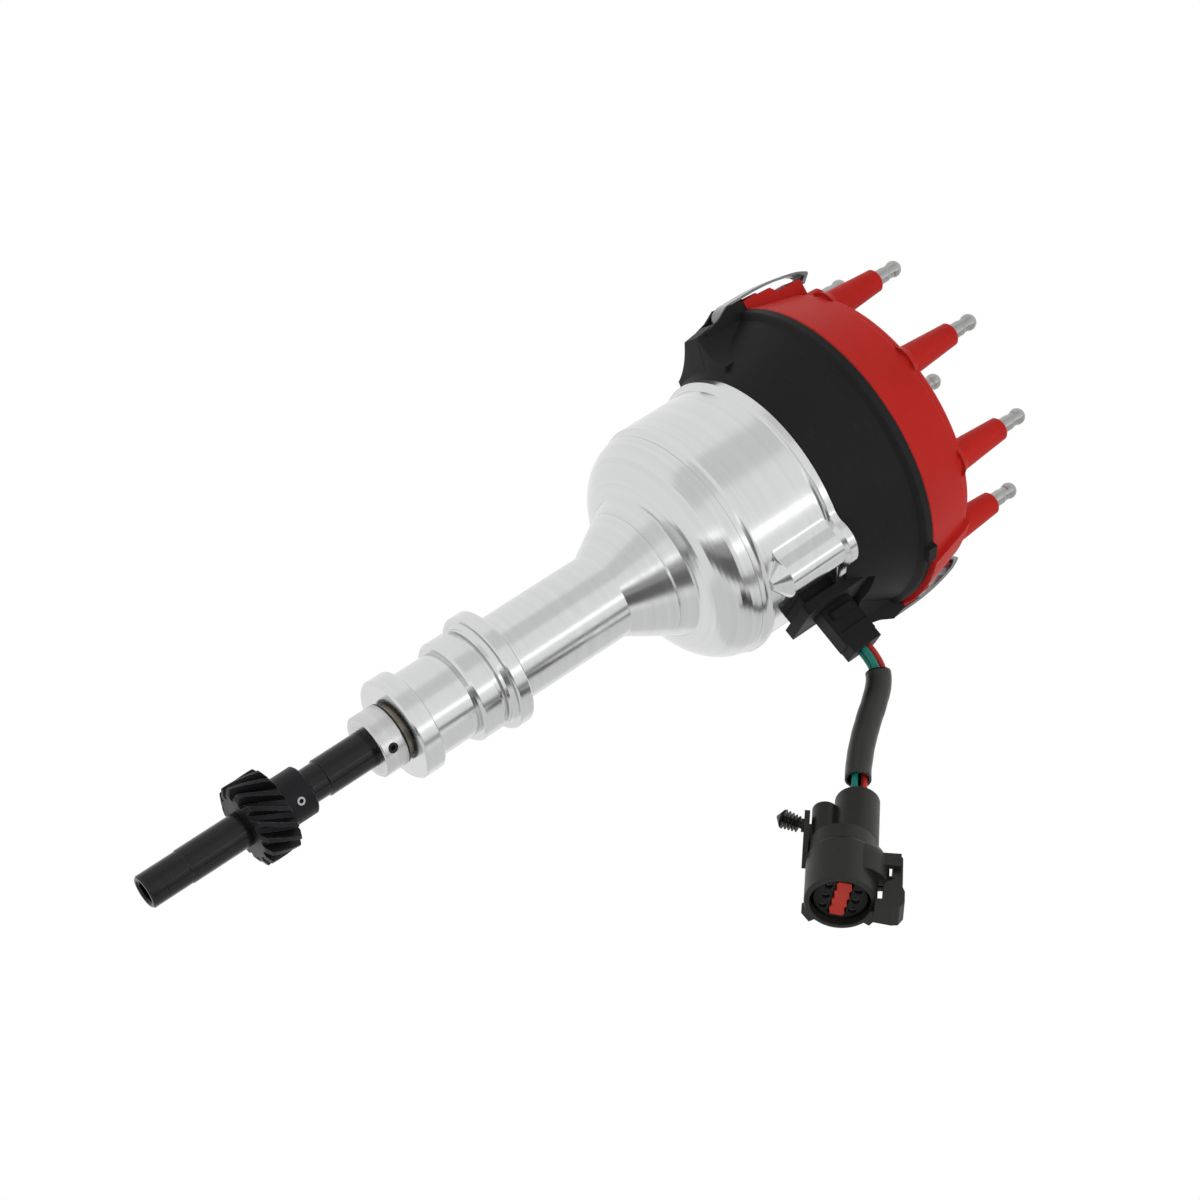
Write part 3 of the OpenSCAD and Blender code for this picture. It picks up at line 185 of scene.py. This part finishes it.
fineRoute = smoothPath(wireRoute(harness), harness["perStep"])
wires = []
for label, seat, slotName in (("wireGreenOne", harness["seats"][0], "green_insulation"),
                              ("wireGreenTwo", harness["seats"][1], "green_insulation"),
                              ("wireRed", harness["seats"][2], "red_insulation")):
    line = offsetPath(fineRoute, *seat)
    tube = tubePiece(label, line, harness["wire"] / 2, harness["wireSides"])
    wires.append((tube, line, slotName))


def sleeveShape(i, a):
    # a soft tape wrap: shallow ridges that run round the sleeve on a slant
    t = sleeveTape
    ridge = (0.5 + 0.5 * math.cos(i * t["ridgeSlant"] + a)) ** t["ridgeSharp"]
    fold = math.cos(t["folds"] * a + i * t["foldSlant"]) ** 2
    return 1 - t["ridge"] * ridge - t["fold"] * fold


firstRing, lastRing = (sleeveTape[k] * harness["perStep"] for k in ("firstPoint", "lastPoint"))
sleeve = tubePiece("wireSleeve", fineRoute[firstRing:lastRing + 1], sleeveTape["diameter"] / 2,
                   sleeveTape["sides"], sleeveShape, closed=False)
solid = sleeve.modifiers.new("wall", "SOLIDIFY")
solid.thickness, solid.offset = sleeveTape["wall"], -1
print("wires made")

# the carbon brush's spring, a rounder coil than the CAD one; the real spring shortens as the brush goes up,
# this coil has one fixed length
brushSpring = {
    "coil": 0.0022, "wire": 0.0006, "low": 0.18859, "high": 0.19341, "turns": 4, "travel": 0.0012,
    "perTurn": 32, "wireSides": 10,
}


def springPath(values):
    inset = values["wire"] / 2
    low, high = values["low"] + inset, values["high"] - inset
    steps = values["turns"] * values["perTurn"]
    points = []
    for i in range(steps + 1):
        a = 2 * math.pi * values["turns"] * i / steps
        points.append(Vector((values["coil"] * math.cos(a), values["coil"] * math.sin(a),
                              low + (high - low) * i / steps)))
    return points


spring = tubePiece("brushSpring", springPath(brushSpring), brushSpring["wire"] / 2,
                   brushSpring["wireSides"])
print("spring made")


def nodeGroup(name, inputs, outputs):
    group = bpy.data.node_groups.new(name, "ShaderNodeTree")
    for label, kind, value in inputs:
        group.interface.new_socket(label, in_out="INPUT", socket_type=kind).default_value = value
    for label, kind in outputs:
        group.interface.new_socket(label, in_out="OUTPUT", socket_type=kind)
    entry = group.nodes.new("NodeGroupInput")
    leave = group.nodes.new("NodeGroupOutput")
    return group, entry, leave


def addMath(tree, kind, a, b=None, clamp=False):
    node = tree.nodes.new("ShaderNodeMath")
    node.operation = kind
    node.use_clamp = clamp
    for i, v in enumerate((a, b)):
        if v is None:
            continue
        if isinstance(v, (int, float)):
            node.inputs[i].default_value = v
        else:
            tree.links.new(v, node.inputs[i])
    return node.outputs[0]


def addRange(tree, value, low, high, toLow=0.0, toHigh=1.0):
    node = tree.nodes.new("ShaderNodeMapRange")
    for i, v in enumerate((value, low, high, toLow, toHigh)):
        if isinstance(v, (int, float)):
            node.inputs[i].default_value = v
        else:
            tree.links.new(v, node.inputs[i])
    return node.outputs[0]


def addNoise(tree, vector, scale, detail=3, rough=0.5, dims="3D"):
    node = tree.nodes.new("ShaderNodeTexNoise")
    node.noise_dimensions = dims
    if dims == "1D":
        tree.links.new(vector, node.inputs["W"])
    else:
        tree.links.new(vector, node.inputs["Vector"])
    if isinstance(scale, (int, float)):
        node.inputs["Scale"].default_value = scale
    else:
        tree.links.new(scale, node.inputs["Scale"])
    node.inputs["Detail"].default_value = detail
    node.inputs["Roughness"].default_value = rough
    return node.outputs["Fac"]


def makeTurnedBands():
    # rings that a lathe tool leaves round the Z axis, on sides and on faces
    g, entry, leave = nodeGroup("turnedBands", (("Pitch", "NodeSocketFloat", 2600.0),
                                ("Wobble", "NodeSocketFloat", 0.00003)),
                                (("Height", "NodeSocketFloat"), ("Band", "NodeSocketFloat")))
    place = g.nodes.new("ShaderNodeTexCoord").outputs["Object"]
    cut = g.nodes.new("ShaderNodeSeparateXYZ")
    g.links.new(place, cut.inputs[0])
    x, y, z = cut.outputs
    r = addMath(g, "SQRT", addMath(g, "ADD", addMath(g, "MULTIPLY", x, x), addMath(g, "MULTIPLY", y, y)))
    blur = addNoise(g, place, 60, 2)
    along = addMath(g, "ADD", addMath(g, "ADD", z, r), addMath(g, "MULTIPLY", blur, entry.outputs["Wobble"]))
    fine = addNoise(g, along, entry.outputs["Pitch"], 3, 0.6, "1D")
    broad = addNoise(g, along, 260, 2, 0.5, "1D")
    g.links.new(fine, leave.inputs["Height"])
    g.links.new(addMath(g, "MULTIPLY", addMath(g, "ADD", fine, broad), 0.5), leave.inputs["Band"])
    return g


def makeEdgeWear():
    # finds edges from the difference between the rounded and the true normal
    g, entry, leave = nodeGroup("edgeWear", (("Radius", "NodeSocketFloat", 0.0004),
                                ("Amount", "NodeSocketFloat", 1.0), ("Grit", "NodeSocketFloat", 900.0)),
                                (("Mask", "NodeSocketFloat"), ("Normal", "NodeSocketVector")))
    bevel = g.nodes.new("ShaderNodeBevel")
    bevel.samples = 4
    g.links.new(entry.outputs["Radius"], bevel.inputs["Radius"])
    true = g.nodes.new("ShaderNodeNewGeometry").outputs["Normal"]
    dot = g.nodes.new("ShaderNodeVectorMath")
    dot.operation = "DOT_PRODUCT"
    g.links.new(bevel.outputs[0], dot.inputs[0])
    g.links.new(true, dot.inputs[1])
    place = g.nodes.new("ShaderNodeTexCoord").outputs["Object"]
    grit = addNoise(g, place, entry.outputs["Grit"], 4, 0.65)
    edge = addRange(g, dot.outputs["Value"], 0.995, 0.90)
    broken = addMath(g, "MULTIPLY", edge, addRange(g, grit, 0.38, 0.62))
    g.links.new(addMath(g, "MULTIPLY", broken, entry.outputs["Amount"], clamp=True), leave.inputs["Mask"])
    g.links.new(bevel.outputs[0], leave.inputs["Normal"])
    return g


def makeGrain():
    # fine moulded or cast skin
    g, entry, leave = nodeGroup("grain", (("Size", "NodeSocketFloat", 2500.0),),
                                (("Height", "NodeSocketFloat"), ("Cloud", "NodeSocketFloat")))
    place = g.nodes.new("ShaderNodeTexCoord").outputs["Object"]
    fine = addNoise(g, place, entry.outputs["Size"], 4, 0.6)
    cloud = addNoise(g, place, 45, 4, 0.55)
    g.links.new(fine, leave.inputs["Height"])
    g.links.new(cloud, leave.inputs["Cloud"])
    return g


def makeScuffs():
    # short hair scratches from handling
    g, entry, leave = nodeGroup("scuffs", (("Size", "NodeSocketFloat", 120.0),
                                ("Amount", "NodeSocketFloat", 0.5)), (("Mask", "NodeSocketFloat"),))
    place = g.nodes.new("ShaderNodeTexCoord").outputs["Object"]
    lines = []
    for turn in ((0.3, 0.2, 0.9), (1.2, 0.7, 0.1)):
        map1 = g.nodes.new("ShaderNodeMapping")
        map1.inputs["Rotation"].default_value = turn
        map1.inputs["Scale"].default_value = (1, 1, 14)
        g.links.new(place, map1.inputs["Vector"])
        lines.append(addRange(g, addNoise(g, map1.outputs[0], entry.outputs["Size"], 2, 0.5), 0.64, 0.70))
    both = addMath(g, "MAXIMUM", lines[0], lines[1])
    g.links.new(addMath(g, "MULTIPLY", both, entry.outputs["Amount"], clamp=True), leave.inputs["Mask"])
    return g


groups = {
    "bands": makeTurnedBands(), "edge": makeEdgeWear(), "grain": makeGrain(), "scuffs": makeScuffs(),
}
print("shader groups made")


def newMaterial(name):
    m = bpy.data.materials.new(name)
    m.use_nodes = True
    tree = m.node_tree
    return m, tree, tree.nodes["Principled BSDF"]


def useGroup(tree, key, **values):
    node = tree.nodes.new("ShaderNodeGroup")
    node.node_tree = groups[key]
    for label, value in values.items():
        node.inputs[label].default_value = value
    return node


def mixColor(tree, mask, a, b):
    node = tree.nodes.new("ShaderNodeMix")
    node.data_type = "RGBA"
    tree.links.new(mask, node.inputs["Factor"])
    for label, v in (("A", a), ("B", b)):
        sock = [s for s in node.inputs if s.name == label and s.type == "RGBA"][0]
        if isinstance(v, tuple):
            sock.default_value = (*v, 1)
        else:
            tree.links.new(v, sock)
    return [s for s in node.outputs if s.type == "RGBA"][0]


def addBump(tree, height, normal, strength, distance):
    node = tree.nodes.new("ShaderNodeBump")
    node.inputs["Strength"].default_value = strength
    node.inputs["Distance"].default_value = distance
    tree.links.new(height, node.inputs["Height"])
    if normal is not None:
        tree.links.new(normal, node.inputs["Normal"])
    return node.outputs[0]


def metalMaterial(name, look):
    # bare, plated or blackened metal: rings or grain, lighter broken edges and cloudy polish
    m, tree, shader = newMaterial(name)
    grain = useGroup(tree, "grain", Size=look.get("grain", 1800.0))
    edge = useGroup(tree, "edge", Radius=look.get("round", 0.0003), Amount=look.get("wear", 0.5))
    if "pitch" in look:
        bands = useGroup(tree, "bands", Pitch=look["pitch"])
        height, tone = bands.outputs["Height"], bands.outputs["Band"]
    else:
        height, tone = grain.outputs["Height"], grain.outputs["Cloud"]
    base = mixColor(tree, addRange(tree, tone, 0.3, 0.7), look["dark"], look["color"])
    tree.links.new(mixColor(tree, edge.outputs["Mask"], base, look.get("edge", look["color"])),
                   shader.inputs["Base Color"])
    shader.inputs["Metallic"].default_value = look.get("metal", 1.0)
    shader.inputs["Specular IOR Level"].default_value = look.get("shine", 0.5)
    low, high = look["rough"]
    rough = addRange(tree, tone, 0.3, 0.7, high, low)
    cloud = addRange(tree, grain.outputs["Cloud"], 0.3, 0.7, -0.03, 0.03)
    tree.links.new(addMath(tree, "ADD", rough, cloud, clamp=True), shader.inputs["Roughness"])
    if "stretch" in look:
        shader.inputs["Anisotropic"].default_value = look["stretch"]
        tangent = tree.nodes.new("ShaderNodeTangent")
        tangent.direction_type, tangent.axis = "RADIAL", "Z"
        tree.links.new(tangent.outputs[0], shader.inputs["Tangent"])
    tree.links.new(addBump(tree, height, edge.outputs["Normal"], look.get("bump", 0.2),
                           look.get("depth", 0.00002)), shader.inputs["Normal"])
    return m


def plasticMaterial(name, look):
    # moulded plastic or rubber: fine skin, handling scuffs, and paler edges that are partly wear and partly
    # a painted highlight
    m, tree, shader = newMaterial(name)
    grain = useGroup(tree, "grain", Size=look.get("grain", 2600.0))
    edge = useGroup(tree, "edge", Radius=0.0005, Amount=0.35, Grit=700.0)
    scuffs = useGroup(tree, "scuffs", Amount=0.25)
    base = mixColor(tree, addRange(tree, grain.outputs["Cloud"], 0.3, 0.7), look["dark"], look["color"])
    # paler edges: handling wear together with a painted highlight along the rims
    edgeWearAndHighlight = mixColor(tree, edge.outputs["Mask"], base, look["edge"])
    faint = addMath(tree, "MULTIPLY", scuffs.outputs["Mask"], 0.35)
    tree.links.new(mixColor(tree, faint, edgeWearAndHighlight, look["edge"]), shader.inputs["Base Color"])
    low, high = look["rough"]
    rough = addRange(tree, grain.outputs["Cloud"], 0.3, 0.7, low, high)
    tree.links.new(addMath(tree, "ADD", rough, addMath(tree, "MULTIPLY", scuffs.outputs["Mask"], 0.12),
                           clamp=True), shader.inputs["Roughness"])
    shader.inputs["IOR"].default_value = 1.48
    shader.inputs["Specular IOR Level"].default_value = look.get("shine", 0.5)
    tree.links.new(addBump(tree, grain.outputs["Height"], edge.outputs["Normal"], look.get("bump", 0.3),
                           look.get("depth", 0.00004)), shader.inputs["Normal"])
    return m


metalLooks = {
    "machined_aluminium": {
        "color": (0.68, 0.683, 0.685), "dark": (0.63, 0.633, 0.636), "rough": (0.15, 0.2),
        "pitch": 2400.0, "bump": 0.12, "depth": 0.00001, "stretch": 0.6, "wear": 0.3, "round": 0.0004,
    },
    "sintered_bronze": {
        "color": (0.42, 0.38, 0.31), "dark": (0.33, 0.29, 0.23), "rough": (0.4, 0.55),
    },
    "bearing_steel": {
        "color": (0.72, 0.72, 0.73), "dark": (0.6, 0.6, 0.61), "rough": (0.12, 0.2), "pitch": 4000.0,
        "bump": 0.1,
    },
    "black_steel": {
        "color": (0.022, 0.022, 0.023), "dark": (0.017, 0.017, 0.018), "edge": (0.16, 0.16, 0.165),
        "rough": (0.17, 0.24), "shine": 0.3, "pitch": 1500.0, "metal": 0.55, "bump": 0.2,
        "depth": 0.00002, "wear": 0.5, "stretch": 0.3,
    },
    "black_iron": {
        "color": (0.02, 0.02, 0.022), "dark": (0.012, 0.012, 0.014), "edge": (0.2, 0.2, 0.205),
        "rough": (0.36, 0.52), "shine": 0.2, "metal": 0.5, "bump": 0.4, "depth": 0.00004, "grain": 1400.0,
        "wear": 0.6, "round": 0.0003,
    },
    "plate_steel": {
        "color": (0.62, 0.62, 0.62), "dark": (0.5, 0.5, 0.5), "rough": (0.25, 0.38), "pitch": 900.0,
    },
    "plated_steel": {
        "color": (0.68, 0.66, 0.58), "dark": (0.52, 0.51, 0.46), "rough": (0.22, 0.36),
    },
    "bright_steel": {
        "color": (0.46, 0.46, 0.465), "dark": (0.36, 0.36, 0.365), "rough": (0.16, 0.26),
    },
    "terminal_metal": {
        "color": (0.44, 0.44, 0.43), "dark": (0.33, 0.33, 0.325), "rough": (0.24, 0.36), "bump": 0.2,
        "depth": 0.00003, "grain": 1200.0, "wear": 0.3,
    },
    "collar_steel": {
        "color": (0.64, 0.645, 0.64), "dark": (0.54, 0.545, 0.54), "rough": (0.2, 0.32),
        "pitch": 1600.0, "bump": 0.3, "stretch": 0.5,
    },
    "rotor_brass": {
        "color": (0.6, 0.45, 0.2), "dark": (0.42, 0.31, 0.14), "rough": (0.24, 0.4),
    },
    "clip_steel": {
        "color": (0.22, 0.22, 0.225), "dark": (0.13, 0.13, 0.135), "edge": (0.6, 0.6, 0.61),
        "rough": (0.16, 0.28), "bump": 0.15, "wear": 0.6,
    },
}
plasticLooks = {
    "black_plastic": {
        "color": (0.012, 0.012, 0.0125), "dark": (0.008, 0.008, 0.0085), "edge": (0.06, 0.06, 0.062),
        "rough": (0.52, 0.64), "shine": 0.16, "bump": 0.35,
    },
    "red_cap_plastic": {
        # the paler edge colour is a painted highlight on the cap's rims
        "color": (0.55, 0.018, 0.012), "dark": (0.47, 0.013, 0.009), "edge": (0.7, 0.07, 0.05),
        "rough": (0.46, 0.58), "shine": 0.12,
    },
    "green_insulation": {
        "color": (0.0, 0.23, 0.17), "dark": (0.0, 0.17, 0.13), "edge": (0.1, 0.4, 0.32),
        "rough": (0.3, 0.4), "shine": 0.3,
    },
    "red_insulation": {
        "color": (0.55, 0.03, 0.02), "dark": (0.42, 0.02, 0.015), "edge": (0.7, 0.12, 0.1),
        "rough": (0.3, 0.4), "shine": 0.3,
    },
    "sleeve_rubber": {
        "color": (0.0165, 0.0165, 0.013), "dark": (0.01, 0.01, 0.008), "edge": (0.06, 0.06, 0.052),
        "rough": (0.3, 0.42), "shine": 0.45, "bump": 0.5, "depth": 0.00008, "grain": 900.0,
    },
    "connector_plastic": {
        "color": (0.0205, 0.0208, 0.0172), "dark": (0.0145, 0.0147, 0.0122),
        "edge": (0.09, 0.09, 0.085), "rough": (0.38, 0.5), "shine": 0.25, "bump": 0.3,
    },
    "red_wedge_plastic": {
        "color": (0.5, 0.035, 0.022), "dark": (0.42, 0.028, 0.018), "edge": (0.62, 0.1, 0.07),
        "rough": (0.4, 0.5), "shine": 0.2,
    },
    "rotor_plastic": {
        "color": (0.03, 0.026, 0.023), "dark": (0.02, 0.017, 0.015), "edge": (0.1, 0.09, 0.08),
        "rough": (0.4, 0.5),
    },
    "carbon": {
        "color": (0.02, 0.02, 0.021), "dark": (0.012, 0.012, 0.013), "edge": (0.08, 0.08, 0.08),
        "rough": (0.5, 0.6),
    },
}
materials = {k: metalMaterial(k, v) for k, v in metalLooks.items()}
materials.update({k: plasticMaterial(k, v) for k, v in plasticLooks.items()})
slotOf = {s["node"]: s["material_slot"] for s in frame["record"]["subparts"]}
for label, obj in nodes.items():
    obj.data.materials.clear()
    obj.data.materials.append(materials[slotOf[label]])
print("materials made")


# the harness is put on the housing's body, and the CAD wires and sleeve are hidden
for (tube, line, slotName), node in zip(wires, ("wire_green_1", "wire_green_2", "wire_red")):
    tube.data.materials.append(materials[slotName])
    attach(tube, "housing")
    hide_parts(node)
sleeve.data.materials.append(materials["sleeve_rubber"])
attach(sleeve, "housing")
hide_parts("wire_sleeve")


spring.data.materials.append(materials[slotOf["brush_spring"]])
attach(spring, "housing")
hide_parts("brush_spring")
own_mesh(spring)


# White world, soft lamps that metal doesn't mirror, bright and dark cards that show in mirror
# reflections only, and a pale floor that is seen from above only. A lamp has its place from the
# camera's side (right, up, back), width, height and power. A card has its height on the shaft,
# distance, angle from the camera's side towards the lower right, width, length and level.
studio = {
    "world": 0.55,
    "lamps": (
        ("key", (-0.75, 0.75, 1.0), 0.9, 0.9, 9.0),
        ("fill", (0.9, -0.1, 0.9), 0.8, 1.1, 4.5),
        ("low", (-0.1, -1.0, 0.5), 1.0, 0.5, 3.0),
        ("rim", (0.2, 0.9, -0.7), 0.8, 0.6, 4.0),
    ),
    "cards": (
        ("brightStrip", 0.30, 0.42, 27, 0.05, 0.70, 2.2),
        ("darkStrip", 0.30, 0.38, 58, 0.06, 0.70, 0.15),
        ("lowBright", -0.63, 0.42, 10, 0.05, 1.15, 1.8),
        ("lowGrey", -0.63, 0.41, 24, 0.10, 1.15, 0.32),
        ("lowDark", -0.63, 0.40, 46, 0.20, 1.15, 0.12),
        ("sideCard", -0.10, 0.46, 105, 0.56, 1.60, 0.80),
        ("upperCard", 0.20, 0.46, -38, 0.30, 1.00, 0.78),
    ),
    "floorZ": -0.1502, "floorSize": 14.0, "floorTone": 0.86, "floorLift": 0.34,
}


def addWorld(level):
    world = bpy.data.worlds.new("studioWorld")
    scene.world = world
    world.use_nodes = True
    tree = world.node_tree
    back = tree.nodes["Background"]
    light = tree.nodes.new("ShaderNodeLightPath")
    seen = addMath(tree, "MAXIMUM", addMath(tree, "MAXIMUM", light.outputs["Is Camera Ray"],
                   light.outputs["Is Glossy Ray"]), light.outputs["Is Transmission Ray"])
    back.inputs["Color"].default_value = (1, 1, 1, 1)
    tree.links.new(addRange(tree, seen, 0.0, 1.0, level, 1.0), back.inputs["Strength"])


def addLamp(name, place, width, height, power):
    data = bpy.data.lights.new(name, "AREA")
    data.shape = "RECTANGLE"
    data.size, data.size_y = width, height
    data.energy = power
    lamp = bpy.data.objects.new(name, data)
    at = fromView(*place)
    lamp.matrix_world = (Matrix.Translation(at)
                         @ (at - fromView(0, 0, 0)).to_track_quat("Z", "Y").to_matrix().to_4x4())
    scene.collection.objects.link(lamp)
    lamp.visible_glossy = False


def addCard(name, height, away, angle, width, length, level):
    # a card that stands parallel to the shaft
    axis, back = Vector((0, 0, 1)), viewAxes(cameraView)[2]
    towards = (back - axis * back.z).normalized()
    across = axis.cross(towards)
    a = math.radians(angle)
    out = towards * math.cos(a) + across * math.sin(a)
    along = axis.cross(out)
    mid = axis * height + out * away
    w, h = along * (width / 2), axis * (length / 2)
    card = meshPiece(name, [mid - w - h, mid + w - h, mid + w + h, mid - w + h], [(0, 1, 2, 3)], False)
    m = bpy.data.materials.new(name)
    m.use_nodes = True
    tree = m.node_tree
    tree.nodes.remove(tree.nodes["Principled BSDF"])
    glow = tree.nodes.new("ShaderNodeEmission")
    glow.inputs["Color"].default_value = (1, 1, 1, 1)
    glow.inputs["Strength"].default_value = level
    tree.links.new(glow.outputs[0], tree.nodes["Material Output"].inputs["Surface"])
    card.data.materials.append(m)
    card.visible_camera = card.visible_diffuse = card.visible_shadow = card.visible_transmission = False


def addFloor(z, size, tone, lift):
    # lit as a plain pale floor; the lift, for the camera only, brings it close to white
    s = size / 2
    floor = meshPiece("floor", [(-s, -s, z), (s, -s, z), (s, s, z), (-s, s, z)], [(0, 1, 2, 3)], False)
    m, tree, shader = newMaterial("paleFloor")
    shader.inputs["Base Color"].default_value = (tone, tone, tone, 1)
    shader.inputs["Roughness"].default_value = 0.7
    shader.inputs["Emission Color"].default_value = (1, 1, 1, 1)
    seen = tree.nodes.new("ShaderNodeLightPath").outputs["Is Camera Ray"]
    tree.links.new(addMath(tree, "MULTIPLY", seen, lift), shader.inputs["Emission Strength"])
    clear = tree.nodes.new("ShaderNodeBsdfTransparent")
    side = tree.nodes.new("ShaderNodeNewGeometry")
    mix = tree.nodes.new("ShaderNodeMixShader")
    tree.links.new(side.outputs["Backfacing"], mix.inputs[0])
    tree.links.new(shader.outputs[0], mix.inputs[1])
    tree.links.new(clear.outputs[0], mix.inputs[2])
    tree.links.new(mix.outputs[0], tree.nodes["Material Output"].inputs["Surface"])
    floor.data.materials.append(m)
    floor.visible_glossy = False


addWorld(studio["world"])
for lamp in studio["lamps"]:
    addLamp(*lamp)
for card in studio["cards"]:
    addCard(*card)
addFloor(*(studio[k] for k in ("floorZ", "floorSize", "floorTone", "floorLift")))
scene.view_settings.view_transform = "Standard"
print("studio made")
